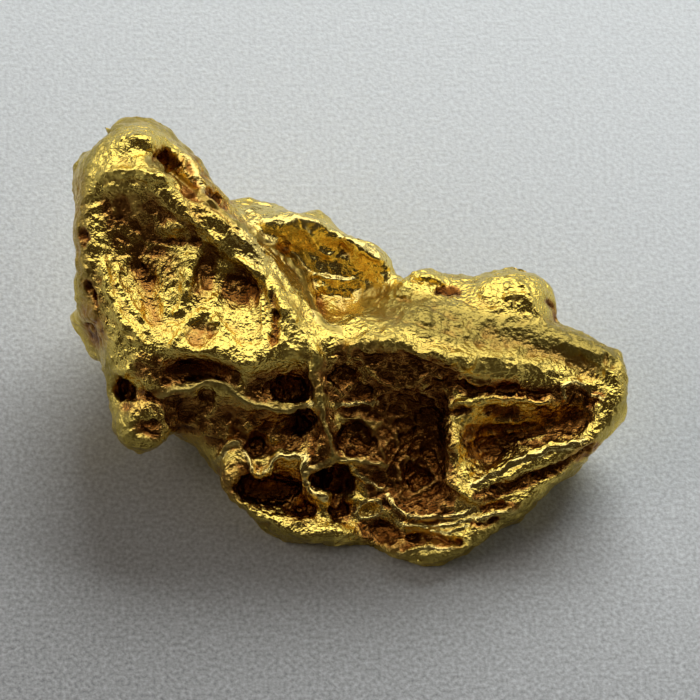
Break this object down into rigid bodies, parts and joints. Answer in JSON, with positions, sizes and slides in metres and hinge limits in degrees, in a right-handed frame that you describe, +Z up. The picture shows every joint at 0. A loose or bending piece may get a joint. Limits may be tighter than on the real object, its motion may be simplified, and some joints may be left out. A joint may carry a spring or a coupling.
{
  "type": "gold nugget",
  "caption": "Natural water-worn gold nugget, a folded and lumpy piece of native metal that lies on its own worn feet.",
  "frame": {"origin": "middle of the bounding box's bottom, on the surface that the nugget rests on", "axes": "+X along the nugget from its high lobe to its nose, +Y towards the back of its leaning face, +Z up"},
  "size_m": [0.014, 0.0108, 0.0057],
  "materials": {
    "gold": "water-worn native gold, bare metal with a fine crinkled surface, bright on its worn crests and darker in its hollows"
  },
  "bodies": {
    "root": {"gold_nugget": "gold"}
  },
  "joints": []
}
